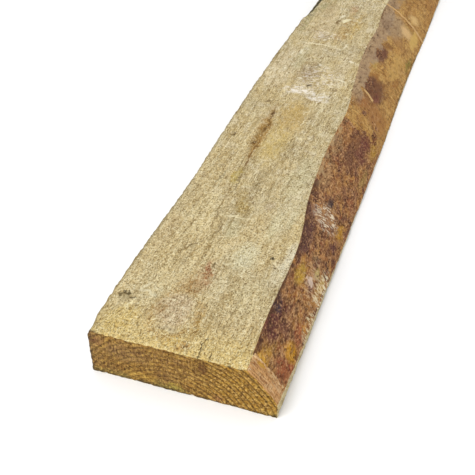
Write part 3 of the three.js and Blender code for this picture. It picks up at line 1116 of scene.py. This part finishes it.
# Where the bark is scraped through to dry, whitish bast.
SCRAPED_PATCHES = tuple(starmap(on_wane, (
    ("#643c28", 0.35, 400, 34, 56, 22, 0.5),
    ("#a98568", 0.35, 250, 36, 25, 21),
    ("#f3e3c6", 0.85, 250, 36, 27, 23, 0.4, BRIGHT_SPECKS),
    ("#42302e", 0.7, 273, 38, 10, 7, 0.4),
    ("#f8ecc8", 0.97, 158, 4, 36, 14, 0.5, BRIGHT_SPECKS),
    ("#e8d4a8", 0.9, 105, 3, 30, 10, 0.4, BRIGHT_SPECKS),
    ("#c89c52", 0.55, 158, 10, 26, 9, 0.1),
    ("#f6e6bc", 0.85, 160, 10, 24, 9, 0.3, SCRAPES),
    ("#e6cdb8", 0.75, 150, 25, 6, 5, 0.4),
    ("#dfc196", 0.5, 152, 22, 46, 22, 0.3, BRIGHT_SPECKS),
)))
INNER_BARK = Finish(
    "pine_inner_bark",
    "#95673c",
    (
        Coat("#b58244", 0.85, (Mottle((10, 17, 10), 0.46, 0.6, 3, 1.9),)),
        Coat("#653e33", 0.85, (Mottle((9, 16, 9), 0.47, 0.6, 3, 7.1),)),
        Coat("#c09064", 0.75, (Mottle((5.0, 8.5, 5.0), 0.5, 0.63, 3, 3.7),)),
        Coat("#7c3f22", 0.7, (Mottle((5, 8, 5), 0.52, 0.65, 3, 5.9),)),
        *FLAKED_PATCHES,
        Coat("#6a4433", 0.8, (Fade(Axis.ALONG, 480, 530),)),
        Coat("#bd8a58", 0.3, (Mottle((5.5, 7.5, 5.5), 0.53, 0.63, 3, 44.1),)),
        Coat("#50301f", 0.65, (Mottle((5.0, 7.5, 5.0), 0.53, 0.63, 3, 47.7),)),
        Coat("#7c5840", 0.9, (CREVICES,), Blend.DARKEN),
        Coat("#a98056", 1.0, (CRUMBS,), Blend.LIGHTEN),
        # the line along the top arris, dark at first and pale past it
        Coat("#482c20", 0.75, (
            Fade(Axis.UP, 44.5, 48.5), Fade(Axis.ALONG, 315, 275), Mottle((6, 15, 6), 0.4, 0.54, 3, 50.3))),
        Coat("#b79a70", 0.7, (
            Fade(Axis.UP, 43.5, 47.5), Fade(Axis.ALONG, 275, 305), Mottle((6, 12, 6), 0.44, 0.56, 3, 81.5))),
        *SCRAPED_PATCHES,
    ),
    (Relief(0.5, (CRUMBS,)), Relief(-0.5, (CREVICES,)), Relief(0.8, (LUMPS,))),
    tear=6.0,
)


# ---- Shaping -------------------------------------------------------------------------------------

EDGE = 0.0001  # closer than this to a side of the lattice, a point is on that side
TOUCHING = 0.001  # closer than this to a cut, a point is on the cut
SHORTEST = 0.002  # edges shorter than this are taken out


@dataclass(frozen=True)
class Lumps:
    """Smooth unevenness.

    Args:
        most: How much it amounts to where it is full.
        size: Size of a lump.
        stretch: How much longer a lump is along the plank.
        seed: Moves the pattern.
        low: Noise value where a lump starts.
        high: Noise value where it is full.
    """

    most: float
    size: float
    stretch: float = 1.0
    seed: float = 0.0
    low: float = 0.3
    high: float = 0.8

    def share(self, point: Vector) -> float:
        """Smooth noise from about 0 to 1 at a place in millimetres."""
        return 0.5 + 0.5 * noise.noise(Vector((
            point.x / self.size + self.seed,
            point.y / (self.size * self.stretch) + self.seed * 1.7,
            point.z / self.size)))

    def level(self, point: Vector) -> float:
        """How much it is at a place, with nothing cut off."""
        return self.most * self.share(point)

    def lump(self, point: Vector) -> float:
        """How much it is at a place, in lumps with level ground between them."""
        return self.most * smooth(self.share(point), self.low, self.high)

    def stray(self, point: Vector) -> float:
        """How far a line strays at a place, to either side."""
        return self.most * (self.share(point) - 0.5)


def make_piece(name: str, bm: Mesh, finishes: tuple[Finish, ...], soft: bool = False) -> Piece:
    """Turns a mesh in millimetres into a dressed piece that belongs to the plank.

    Args:
        name: Name of the piece.
        bm: Its mesh, which is used up.
        finishes: One for each material number on its faces.
        soft: Whether its faces are shaded smooth.

    Returns:
        The piece.
    """
    limits = [(a / MM + KEPT_INSIDE, b / MM - KEPT_INSIDE) for a, b in zip(LOW, HIGH)]
    for v in bm.verts:
        v.co = Vector([min(max(c, low), high) for c, (low, high) in zip(v.co, limits)])
    for face in bm.faces:
        face.smooth = soft
    bmesh.ops.scale(bm, vec=(MM, MM, MM), verts=bm.verts)
    mesh = bpy.data.meshes.new(name)
    bm.to_mesh(mesh)
    bm.free()
    for finish in finishes:
        mesh.materials.append(finish.material())
    piece = bpy.data.objects.new(name, mesh)
    bpy.context.scene.collection.objects.link(piece)
    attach(piece, "root")
    return piece


def joined(parts: list[Mesh]) -> Mesh:
    """Puts several meshes into one.

    Args:
        parts: The meshes, which are used up.

    Returns:
        The one mesh.
    """
    whole = bmesh.new()
    for part in parts:
        step = bpy.data.meshes.new("part")
        part.to_mesh(step)
        part.free()
        whole.from_mesh(step)
        bpy.data.meshes.remove(step)
    return whole


@dataclass(frozen=True)
class Wear:
    """How far rough sawing and handling have taken a surface back from the clean saw line.

    Args:
        least: What is gone everywhere.
        hollows: What broad hollows take as well.
        tears: What torn grain takes as well.
    """

    least: float
    hollows: Lumps
    tears: Lumps

    def depth(self, point: Vector) -> float:
        """Depth gone at a place."""
        return self.least + self.hollows.lump(point) + self.tears.lump(point)


class Part(Enum):
    """Which finish a face of the plank wears, as its material number."""

    SAWN = 0
    END = 1
    WANE = 2
    TOP = 3  # and one more for each further stretch


@dataclass(frozen=True)
class DryingCrack:
    """A short crack that starts in the near end and runs along the top face.

    Args:
        across: Its place, from the square edge.
        length: How far it runs.
        width: Its width at the end.
        depth: Its depth at the end.
        beside: How far to each side of it the skin is cut.
        below: How far under the top the skin is cut.
        deepest: Share of its length that keeps its full depth.
    """

    across: float
    length: float
    width: float
    depth: float
    beside: float = 6.0
    below: float = 3.0
    deepest: float = 0.3

    def cut(self, bm: Mesh) -> None:
        """Splits the top face along the crack and presses its middle line down.

        Args:
            bm: The plank's skin.
        """
        middle = SAW_LINE + self.across
        near = []
        for face in bm.faces:
            x, y, z = face.calc_center_median()
            if abs(x - middle) < self.beside and z > TOP - self.below and y < NEAR_END + self.length:
                near.append(face)
        for side in (-0.5, 0.0, 0.5):
            near = [f for f in near if f.is_valid]
            parts = list({e for f in near for e in f.edges} | {v for f in near for v in f.verts}) + near
            cut = bmesh.ops.bisect_plane(
                bm, geom=parts, dist=TOUCHING,
                plane_co=(middle + side * self.width, 0, 0), plane_no=(1, 0, 0))
            near = [g for g in cut["geom"] if isinstance(g, bmesh.types.BMFace)]
            if side == 0.0:
                line = [g for g in cut["geom_cut"] if isinstance(g, bmesh.types.BMVert)]
        for v in line:
            if v.is_valid:
                v.co.z -= self.depth * (
                    1 - smooth(v.co.y - NEAR_END, self.deepest * self.length, self.length))


@dataclass
class PlankBody:
    """The whole plank as one closed skin on a lattice that follows its arrises.

    Args:
        across: Lattice cells over the width.
        upward: Lattice cells over the thickness.
        side_rows: How many of the upward cells cover the sawn strip under the wane.
        rounds: Rounds of cutting along the length, whose product is the cells along.
        near_cells: How many of those cover the part that is seen closest.
        probe_height: Height at which the square edge is asked for.
        bark: Where bark lies on the wane: its start and end along the plank.
        bark_runs: How far the step down to the bark runs at its start and end.
        bark_depth: How far the wood lies under the bark's outside.
        strip_run: Share of the thickness over which the strip's wear turns into the wane's.
        rim_fall: How much of the rim's strength goes with each cell from the square edge.
        top: Wear of the top face, and so on for each side.
        bottom_chips: Notches in the bottom arris.
        top_chips: Notches in the top arris.
        cracks: The drying cracks in the near end.
        timber: What its sawn faces wear.
    """

    across: int = 76
    upward: int = 26
    side_rows: int = 4
    rounds: tuple[int, ...] = (8, 8, 7)
    near_cells: int = 330
    probe_height: float = 8.0
    bark: tuple[float, float] = (22.0, 440.0)
    bark_runs: tuple[float, float] = (3.0, 8.0)
    bark_depth: float = 1.3
    strip_run: float = 0.02
    rim_fall: float = 0.45
    top: Wear = Wear(0.35, Lumps(0.45, 16.0, 2.0, 1.0, 0.25), Lumps(0.35, 5.0, 1.2, 6.3))
    bottom: Wear = Wear(0.1, Lumps(0.3, 16.0, 2.0, 7.0, 0.25), Lumps(0.3, 5.0, 1.2, 12.3))
    edge: Wear = Wear(0.1, Lumps(0.5, 12.0, 1.6, 13.0, 0.25), Lumps(0.7, 4.5, 0.96, 18.3))
    end: Wear = Wear(0.05, Lumps(0.3, 9.0, 1.0, 19.0, 0.25), Lumps(0.45, 3.5, 0.6, 24.3))
    wane: Wear = Wear(0.2, Lumps(0.7, 12.0, 1.8, 23.0, 0.25), Lumps(0.5, 5.0, 1.08, 28.3))
    bottom_chips: tuple[Lumps, ...] = (Lumps(1.4, 7.0, 1.0, 31.0, 0.55), Lumps(0.63, 2.3, 1.0, 33.0, 0.4))
    top_chips: Lumps = Lumps(0.9, 3.5, 1.5, 37.0, 0.4, 0.75)
    cracks: tuple[DryingCrack, ...] = (
        DryingCrack(102.5, 34.0, 1.3, 1.5), DryingCrack(86.7, 20.0, 0.8, 0.9),
        DryingCrack(112.5, 18.0, 0.9, 1.0))
    timber: SawnTimber = SawnTimber()
    name: str = "plank_wood"

    def along_at(self, share: float) -> float:
        """Distance from the near end for a share of the lattice's length."""
        cells = share * math.prod(self.rounds)
        if cells <= self.near_cells:
            return cells / self.near_cells * NEAR_PART
        far_share = (cells - self.near_cells) / (math.prod(self.rounds) - self.near_cells)
        return NEAR_PART + far_share * (LENGTH - NEAR_PART)

    def lattice(self) -> Mesh:
        """A cube cut into cells across, upward and along.

        The long way is cut in three rounds, because one round of many cuts is slow.
        """
        bm = bmesh.new()
        bmesh.ops.create_cube(bm, size=1)
        for axis, cells in ((0, self.across), (2, self.upward), *((1, r) for r in self.rounds)):
            edges = [e for e in bm.edges if abs(e.verts[0].co[axis] - e.verts[1].co[axis]) > EDGE]
            bmesh.ops.subdivide_edges(bm, edges=edges, cuts=cells - 1)
        return bm

    def mark_parts(self, bm: Mesh) -> None:
        """Gives each face the number of its finish.

        Args:
            bm: The lattice.
        """
        outermost = 0.5 - EDGE
        wane_from = self.side_rows / self.upward - 0.5
        for face in bm.faces:
            x, y, z = face.calc_center_median()
            stretch = self.timber.stretch(self.along_at(y + 0.5)) if z > outermost else None
            face.material_index = Part.SAWN.value
            if abs(y) > outermost:
                face.material_index = Part.END.value
            elif x > outermost and z > wane_from:
                face.material_index = Part.WANE.value
            elif stretch is not None:
                face.material_index = Part.TOP.value + stretch

    def wane_rows(self, profile: WaneProfile) -> list[tuple[float, float, float, float]]:
        """Lattice rows up the waney edge: across, height and the outward direction."""
        steps = self.upward - self.side_rows
        return [
            *((PACKED.high.x, profile.strip * i / self.side_rows, 1.0, 0.0) for i in range(self.side_rows)),
            *(profile.at(profile.arcs[-1] * i / steps) for i in range(steps + 1)),
        ]

    def wane_wear(self, point: Vector, w: float) -> float:
        """Depth gone at a place of the waney side.

        Args:
            point: The place.
            w: Its share of the lattice's height.

        Returns:
            The depth.
        """
        (starts, ends), (first, last) = self.bark, self.bark_runs
        along = point.y - NEAR_END
        bark = smooth(along, starts - first, starts) * (1 - smooth(along, ends - last, ends))
        arris = self.side_rows / self.upward
        waney = smooth(w, arris - self.strip_run, arris + self.strip_run)
        return self.edge.depth(point) * (1 - waney) + waney * (
            bark * self.bark_depth + (1 - bark) * self.wane.depth(point))

    def worn(self, point: Vector, out: tuple[float, float], share: Triple) -> Vector:
        """Takes a skin point back by the wear of each side that it belongs to.

        Args:
            point: The point.
            out: Outward direction on the waney side, across and up.
            share: Its place in the lattice, from 0 to 1 across, along and up.

        Returns:
            The worn point.
        """
        left, near, under = (c < EDGE for c in share)
        right, far, over = (c > 1 - EDGE for c in share)
        moved = point.copy()
        if over:
            moved.z -= self.top.depth(point)
        if under:
            moved.z += self.bottom.depth(point)
        if left:
            moved.x += self.edge.depth(point)
        if near:
            moved.y += self.end.depth(point)
        if far:
            moved.y -= self.end.depth(point)
        if right:
            back = self.wane_wear(point, share[2])
            moved.x -= back * out[0]
            if not (over or under):
                moved.z -= back * out[1]
        if under and (near or left or right):
            for chips in self.bottom_chips:
                moved.z += chips.lump(point)
        if over and (near or left):
            moved.z -= self.top_chips.lump(point)
        return moved

    def build(self) -> Piece:
        """Builds the skin and returns its piece."""
        bm = self.lattice()
        cells = math.prod(self.rounds)
        self.mark_parts(bm)
        rim = bm.verts.layers.float.new(Rim().name)
        sections = {}
        for v in bm.verts:
            u, s, w = (c + 0.5 for c in v.co)
            ring = round(s * cells)
            if ring not in sections:
                along = self.along_at(ring / cells)
                left = PACKED.edge_at(along, self.probe_height, Side.SQUARE)
                sections[ring] = (along, left, self.wane_rows(PACKED.wane(along)))
            along, left, rows = sections[ring]
            right, right_height, *out = rows[round(w * self.upward)]
            height = (1 - u) * w * TOP + u * right_height
            place = Vector((left + u * (right - left), NEAR_END + along, height))
            v.co = self.worn(PACKED.tree.find_nearest(place)[0], out, (u, s, w))
            v[rim] = max(0.0, 1.0 - self.rim_fall * u * self.across)
        for crack in self.cracks:
            crack.cut(bm)
        bmesh.ops.dissolve_degenerate(bm, edges=bm.edges, dist=SHORTEST)
        bmesh.ops.recalc_face_normals(bm, faces=bm.faces)
        finishes = (self.timber.plain(), END_FACE, BARE_WANE, *self.timber.finishes())
        piece = make_piece(self.name, bm, finishes, soft=True)
        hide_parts("plank")
        return piece


Covers = Callable[[float, float], bool]  # whether a sheet lies at a place, given along and up the wane


@dataclass
class WaneSheets:
    """Thin closed sheets that lie on the waney edge, such as bark.

    Args:
        cell: Size of a mesh cell.
        thickness: Thickness of the sheet.
        uneven: How uneven its outside is, against that of bark.
        least: How far bark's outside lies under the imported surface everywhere.
        step: Depth of the steps between its flakes.
        flake: Size of a flake across, along and up.
        frayed: How ragged the flakes' outlines are across and along, against their size.
        ridges: Its ridges.
        grit: Its fine grit.
    """

    cell: float = 1.25
    thickness: float = 1.5
    uneven: float = 1.0
    least: float = 0.05
    step: float = 0.3
    flake: Triple = (9.0, 13.0, 9.0)
    frayed: tuple[Lumps, Lumps] = (Lumps(0.5, 6.0), Lumps(0.6, 7.0, 1.0, 3.0))
    ridges: Lumps = Lumps(0.5, 5.0, 2.4, 41.0, 0.25)
    grit: Lumps = Lumps(0.3, 1.9, 1.2, 47.0)

    def outside(self, point: Vector) -> float:
        """How far the sheet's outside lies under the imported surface.

        Args:
            point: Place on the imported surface.

        Returns:
            The depth.
        """
        across, along, up = self.flake
        flake = noise.cell(Vector((
            point.x / across + self.frayed[0].level(point),
            point.y / along + self.frayed[1].level(point), point.z / up)))
        return self.uneven * (
            self.least + self.step * abs(flake) + self.ridges.lump(point) + self.grit.level(point))

    def sheet(self, starts: float, ends: float, low: float, high: float, covers: Covers) -> Mesh:
        """One sheet with a ragged outline.

        Args:
            starts: Where its grid starts along the plank.
            ends: Where its grid ends.
            low: Where its grid starts up the wane.
            high: Where its grid ends up the wane; past the arris it stops at the arris.
            covers: Says where in the grid it lies.

        Returns:
            The closed sheet.
        """
        columns = max(4, round((ends - starts) / self.cell))
        tallest = max(PACKED.wane(starts + (ends - starts) * i / 8).arcs[-1] for i in range(9))
        rows = max(3, round((min(high, tallest) - low) / self.cell))
        bm = bmesh.new()
        bmesh.ops.create_grid(bm, x_segments=rows, y_segments=columns, size=0.5)
        profiles = {}
        spots = {}
        for v in bm.verts:
            column = round((v.co.y + 0.5) * columns)
            along = starts + (v.co.y + 0.5) * (ends - starts)
            if column not in profiles:
                profiles[column] = PACKED.wane(along)
            profile = profiles[column]
            rise = low + (v.co.x + 0.5) * (min(high, profile.arcs[-1]) - low)
            x, z, out_x, out_z = profile.at(rise)
            point = Vector((x, NEAR_END + along, z))
            v.co = point - Vector((out_x, 0, out_z)) * self.outside(point)
            spots[v] = (along, rise)
        gone = []
        for face in bm.faces:
            alongs, rises = zip(*(spots[v] for v in face.verts))
            if not covers(sum(alongs) / len(alongs), sum(rises) / len(rises)):
                gone.append(face)
        bmesh.ops.delete(bm, geom=gone, context="FACES")
        while pinched := [v for v in bm.verts if sum(e.is_boundary for e in v.link_edges) > 2]:
            bmesh.ops.delete(bm, geom=list({v.link_faces[0] for v in pinched}), context="FACES")
        bmesh.ops.delete(bm, geom=[v for v in bm.verts if not v.link_faces], context="VERTS")
        bmesh.ops.recalc_face_normals(bm, faces=bm.faces)
        if sum(f.normal.x + f.normal.z for f in bm.faces) < 0:
            bmesh.ops.reverse_faces(bm, faces=bm.faces)
        bmesh.ops.solidify(bm, geom=bm.faces[:], thickness=self.thickness)
        return bm


@dataclass
class Bark(WaneSheets):
    """The inner bark that still clings to the near half of the waney edge.

    Args:
        starts: Where it starts, past the bare stretch by the end.
        far_edge: (up the wane, along) places of its ragged far edge.
        grid: Where its grid starts and ends along the plank.
        tallest: More than the wane's own length, so that it reaches the arris.
        outline: How ragged its outline is.
        calm: Share of that where it starts.
    """

    starts: float = 20.5
    far_edge: tuple[tuple[float, float], ...] = (
        (0, 436), (9, 440), (14, 457), (20, 463), (26, 458), (31, 445), (38, 441), (46, 429), (60, 433),
        (80, 438))
    grid: tuple[float, float] = (17.5, 472.0)
    tallest: float = 99.0
    outline: tuple[Lumps, ...] = (Lumps(7.0, 5.0, 1.0, 3.0), Lumps(4.0, 2.2, 1.0, 8.0))
    calm: float = 0.35
    name: str = "inner_bark"

    def covers(self, along: float, rise: float) -> bool:
        """Whether bark lies at a place.

        Args:
            along: Its distance from the near end.
            rise: Its distance up the wane.

        Returns:
            True where it does.
        """
        ragged = sum(lumps.stray(Vector((rise, along, 0))) for lumps in self.outline)
        if along < self.starts + self.calm * ragged:
            return False
        for (low, a), (high, b) in zip(self.far_edge, self.far_edge[1:]):
            if low <= rise <= high:
                return along < a + (b - a) * (rise - low) / (high - low) + ragged
        return along < self.far_edge[-1][1]

    def build(self) -> Piece:
        """Builds the sheet and returns its piece."""
        return make_piece(self.name, self.sheet(*self.grid, 0.0, self.tallest, self.covers), (INNER_BARK,))


@dataclass(frozen=True)
class Scrap:
    """One scrap of bark.

    Args:
        along: Its middle, from the near end.
        rise: Its middle, up the wane.
        half_along: Half its length.
        half_rise: Half its width.
        outline: How ragged its outline is.
    """

    along: float
    rise: float
    half_along: float
    half_rise: float
    outline: tuple[Lumps, ...] = (Lumps(0.9, 6.0, 1.3, 11.0), Lumps(0.6, 2.6, 1.0, 17.0))

    def covers(self, along: float, rise: float) -> bool:
        """Whether the scrap lies at a place."""
        ragged = sum(lumps.stray(Vector((rise, along, 4.0))) for lumps in self.outline)
        away = math.hypot((along - self.along) / self.half_along, (rise - self.rise) / self.half_rise)
        return away < 1 + ragged


@dataclass
class BarkScraps(WaneSheets):
    """Scraps of bark that are left on the bare wood further along.

    Args:
        scraps: The scraps.
        margin: How far the grid of one reaches, against its half size.
    """

    thickness: float = 1.3
    uneven: float = 0.8
    scraps: tuple[Scrap, ...] = (
        Scrap(471, 24, 5, 7), Scrap(474, 47, 6, 4), Scrap(546, 55, 16, 5), Scrap(637, 58, 12, 4),
        Scrap(900, 40, 30, 9), Scrap(1010, 22, 40, 10), Scrap(1130, 44, 22, 8), Scrap(1290, 18, 46, 9),
        Scrap(1480, 30, 30, 8), Scrap(1640, 14, 40, 8))
    margin: float = 1.5
    name: str = "bark_scraps"

    def build(self) -> Piece:
        """Builds the scraps and returns their piece."""
        parts = []
        for scrap in self.scraps:
            half_along, half_rise = self.margin * scrap.half_along, self.margin * scrap.half_rise
            parts.append(self.sheet(
                scrap.along - half_along, scrap.along + half_along,
                max(0.0, scrap.rise - half_rise), scrap.rise + half_rise, scrap.covers))
        return make_piece(self.name, joined(parts), (INNER_BARK,))


@dataclass
class RaisedFibres:
    """Fibre ends that the rough saw has lifted out of the sawn faces, as thin three-sided slivers.

    Args:
        skin: The finished skin of the plank, as a search tree in millimetres.
        near_count: How many lie on the closer part of the top face.
        far_count: How many lie on the rest of it.
        edge_count: How many stick out of the square edge and the end's arrises.
        across: Where they start and end across the top face.
        above: How far over the top face the rays that look for it start.
        aside: How far outside the square edge the rays that look for that start.
        lowest: Further than this under the top, a place isn't on the top face.
        sunk: How far they lie in or over a face, at least and at most.
        lean: How much they lean from the grain, in degrees.
        lifts: How far they stand up, in degrees.
        scales: Their size against the largest.
        longest: Length of the longest sliver.
        thickest: Width of the thickest.
        tip: Half the width of its tip.
        batch: How many are made in one mesh before it is joined to the others.
        seed: Start of the random numbers.
    """

    skin: BVHTree
    near_count: int = 9000
    far_count: int = 2600
    edge_count: int = 900
    across: tuple[float, float] = (0.5, 175.0)
    above: float = 5.0
    aside: float = 40.0
    lowest: float = 2.5
    sunk: tuple[float, float] = (-0.1, 0.2)
    lean: float = 16.0
    lifts: tuple[float, float] = (-7.0, 9.0)
    scales: tuple[float, float] = (0.3, 1.0)
    longest: float = 5.2
    thickest: float = 0.62
    tip: float = 0.06
    batch: int = 250
    seed: int = 11
    name: str = "raised_fibres"

    def sliver(self, bm: Mesh, place: Vector, turn: float, lift: float, scale: float) -> None:
        """Adds one sliver.

        Args:
            bm: Mesh that gets it.
            place: Its middle.
            turn: Degrees it leans from the grain.
            lift: Degrees it stands up.
            scale: Its size against the largest.
        """
        tilt = Euler((math.radians(90 - lift), 0, math.radians(turn))).to_matrix().to_4x4()
        bmesh.ops.create_cone(
            bm, segments=3, cap_ends=True, radius1=self.thickest * 0.5 * (0.5 + 0.5 * scale),
            radius2=self.tip, depth=self.longest * scale, matrix=Matrix.Translation(place) @ tilt)

    def places(self, rng: random.Random) -> list[tuple[Vector, float, float, float]]:
        """Chooses where the slivers lie.

        Args:
            rng: Source of the random numbers.

        Returns:
            Place, turn, lift and scale of each.
        """
        chosen = []
        for index in range(self.near_count + self.far_count):
            near = index < self.near_count
            along = rng.uniform(1.0, NEAR_PART) if near else rng.uniform(NEAR_PART, LENGTH - 1)
            over = spot(along, rng.uniform(*self.across), TOP + self.above)
            found = self.skin.ray_cast(over, Vector((0, 0, -1)))[0]
            if found and found.z > TOP - self.lowest:
                found.z += rng.uniform(*self.sunk)
                turn, lift = rng.gauss(0, self.lean), rng.uniform(*self.lifts)
                chosen.append((found, turn, lift, rng.uniform(*self.scales) ** 1.5))
        for _ in range(self.edge_count):
            beside = spot(rng.uniform(1.0, NEAR_PART), -self.aside, rng.uniform(0.5, TOP - 0.6))
            found = self.skin.ray_cast(beside, Vector((1, 0, 0)))[0]
            if found:
                found.x += rng.uniform(-0.15, 0.15)
                chosen.append((found, rng.uniform(-9, 9), rng.uniform(-10, 10), rng.uniform(0.2, 0.6)))
        return chosen

    def build(self) -> Piece:
        """Builds the slivers and returns their piece."""
        chosen = self.places(random.Random(self.seed))
        parts = []
        for start in range(0, len(chosen), self.batch):
            part = bmesh.new()
            for sliver in chosen[start:start + self.batch]:
                self.sliver(part, *sliver)
            parts.append(part)
        return make_piece(self.name, joined(parts), (RAISED_FIBRE,))


@dataclass
class PaleStrips(WaneSheets):
    """Thin pale strips of bast and splinter that cross the waney edge."""

    cell: float = 0.9
    thickness: float = 0.9
    uneven: float = 0.25
    name: str = "pale_strips"

    def bark_line(self, along: float, rise: float) -> bool:
        """Covers the pale line where the bark starts, which is widest at the top arris."""
        middle = 20.3 + Lumps(3.4, 6.0).stray(Vector((rise, 0, 0)))
        half = Lumps(1.9, 3.5).level(Vector((rise, 0, 5))) - 0.1 + 0.9 * smooth(rise, 38, 43)
        return abs(along - middle) < half and 3 < rise < 45

    def splinter(self, along: float, rise: float) -> bool:
        """Covers the long splinter that leans across the wane and gets thinner upward."""
        middle = 774 + rise * 0.14 + Lumps(3.4, 8.0).stray(Vector((rise, 0, 9)))
        return abs(along - middle) < 2.7 * (1 - rise / 130)

    def short_splinter(self, along: float, rise: float) -> bool:
        """Covers a short one beside the dark bast."""
        middle = 498 + rise * 0.42 + Lumps(1.6, 6.0).stray(Vector((rise, 0, 14)))
        return abs(along - middle) < 2.2 and 41 < rise < 58

    def build(self) -> Piece:
        """Builds the strips and returns their piece."""
        parts = [
            self.sheet(17.0, 24.0, 0.0, 50.0, self.bark_line),
            self.sheet(766.0, 794.0, 0.0, 84.0, self.splinter),
            self.sheet(506.0, 530.0, 38.0, 60.0, self.short_splinter),
        ]
        return make_piece(self.name, joined(parts), (BAST_STRIP,))


@dataclass(frozen=True)
class Studio:
    """Pale floor, soft light and the camera; its lengths are in metres but for the camera's place.

    Args:
        floor_half: Half the floor's width.
        floor_under: How far the floor lies under the plank.
        floor_colour: Its colour, linear.
        sky: Strength of the light from all round.
        lamp_place: Where the soft lamp hangs.
        lamp_back: The direction that its back faces.
        lamp_size: Its width.
        lamp_power: Its power in watts.
        camera_place: Where the camera is.
        camera_turn: Degrees it looks to the left of the plank's length.
        camera_tilt: Degrees it looks down.
        lens: Its focal length.
        sensor: Width of its sensor.
    """

    floor_half: float = 15.0
    floor_under: float = 0.0005
    floor_colour: tuple[float, ...] = (0.95, 0.95, 0.95, 1)
    sky: float = 0.8
    lamp_place: Triple = (-1.9, -4.4, 3.4)
    lamp_back: Triple = (-1.9, -4.0, 3.4)
    lamp_size: float = 4.5
    lamp_power: float = 258.0
    camera_place: Triple = (209.6, -1360.7, 570.6)
    camera_turn: float = 18.86
    camera_tilt: float = 38.17
    lens: float = 64.45
    sensor: float = 36.0

    def put(self, name: str, data: bpy.types.ID) -> Piece:
        """Adds one thing to the scene."""
        thing = bpy.data.objects.new(name, data)
        bpy.context.scene.collection.objects.link(thing)
        return thing

    def add_floor(self) -> None:
        """Adds the floor."""
        bm = bmesh.new()
        bmesh.ops.create_grid(bm, x_segments=1, y_segments=1, size=self.floor_half)
        bmesh.ops.translate(bm, verts=bm.verts, vec=(0, 0, -self.floor_under))
        mesh = bpy.data.meshes.new("studio_floor")
        bm.to_mesh(mesh)
        bm.free()
        mat = bpy.data.materials.new("floor")
        mat.use_nodes = True
        mat.node_tree.nodes["Principled BSDF"].inputs["Base Color"].default_value = self.floor_colour
        mesh.materials.append(mat)
        floor = self.put("studio_floor", mesh)

    def add_lights(self) -> None:
        """Adds the light from all round and the soft lamp."""
        world = bpy.data.worlds.new("studio")
        bpy.context.scene.world = world
        world.use_nodes = True
        glow = world.node_tree.nodes["Background"]
        feed(world.node_tree, glow, {"Color": (1, 1, 1, 1), "Strength": self.sky})
        lamp = bpy.data.lights.new("key", "AREA")
        lamp.energy = self.lamp_power
        lamp.size = self.lamp_size
        key = self.put("key", lamp)
        key.location = self.lamp_place
        key.rotation_euler = Vector(self.lamp_back).to_track_quat("Z", "Y").to_euler()

    def add_camera(self) -> None:
        """Adds the camera."""
        camera = self.put("camera", bpy.data.cameras.new("camera"))
        camera.data.lens = self.lens
        camera.data.sensor_width = self.sensor
        camera.location = Vector(self.camera_place) * MM
        camera.rotation_euler = (math.radians(90 - self.camera_tilt), 0, math.radians(self.camera_turn))
        bpy.context.scene.camera = camera

    def build(self) -> None:
        """Adds the floor, the lights and the camera."""
        self.add_floor()
        self.add_lights()
        self.add_camera()
        bpy.context.scene.view_settings.view_transform = "Standard"


def report(piece: Piece) -> None:
    """Logs a piece's name and size."""
    log.info("%s: %d faces", piece.name, len(piece.data.polygons))


def main() -> None:
    """Builds the pieces in order and reports each one."""
    logging.basicConfig(level=logging.INFO)
    body = PlankBody().build()
    report(body)
    for maker in (Bark(), BarkScraps(), RaisedFibres(search_tree(body)), PaleStrips()):
        report(maker.build())
    Studio().build()


if __name__ == "__main__":
    main()
